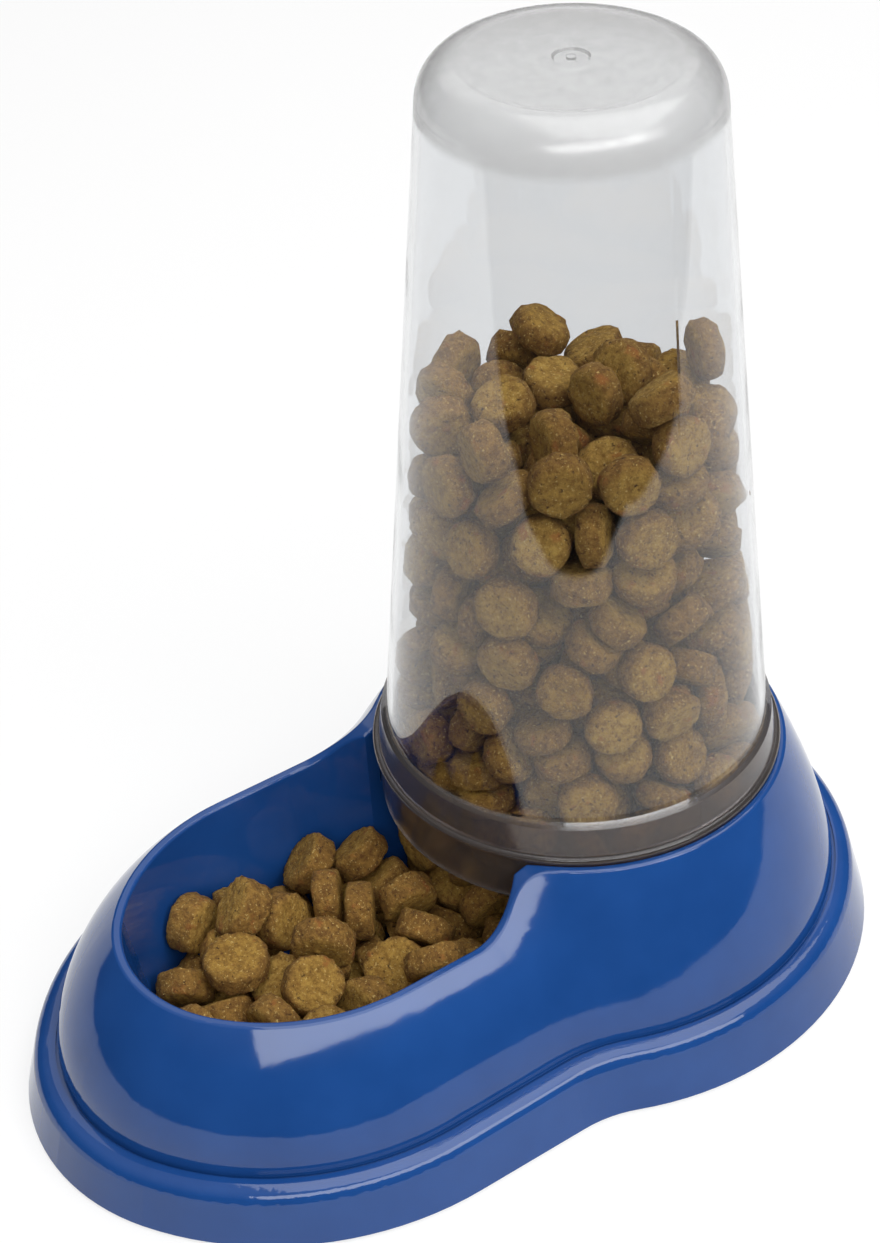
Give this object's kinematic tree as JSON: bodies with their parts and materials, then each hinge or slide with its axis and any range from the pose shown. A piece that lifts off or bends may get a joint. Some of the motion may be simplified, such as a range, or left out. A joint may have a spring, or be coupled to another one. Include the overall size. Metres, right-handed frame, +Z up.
{
  "type": "gravity pet feeder",
  "caption": "Free-standing gravity feeder: a clear tank stands mouth down in a hollow moulded base and lets dry food or water run out into a bowl at the front; the tank lifts off.",
  "frame": {"origin": "on the floor, in the middle of the base's length and width, level with the undersides of the feet", "axes": "+Z up, the bowl towards -Y and the tank towards +Y, X = 0 the plane of symmetry"},
  "size_m": [0.1976, 0.294, 0.288],
  "materials": {
    "base_plastic": "glossy injection-moulded blue polypropylene",
    "clear_plastic": "clear injection-moulded plastic, slightly frosted over the closed end",
    "foot_rubber": "matt soft rubber"
  },
  "bodies": {
    "base": {"base_moulding": "base_plastic", "front_left_foot": "foot_rubber", "front_right_foot": "foot_rubber", "rear_left_foot": "foot_rubber", "rear_right_foot": "foot_rubber"},
    "tank": {"feed_tank": "clear_plastic"}
  },
  "joints": [
    {"name": "tank_lift", "type": "slide", "parent": "base", "child": "tank", "axis": [0, 0, 1], "range_m": [0, 0.04]}
  ]
}
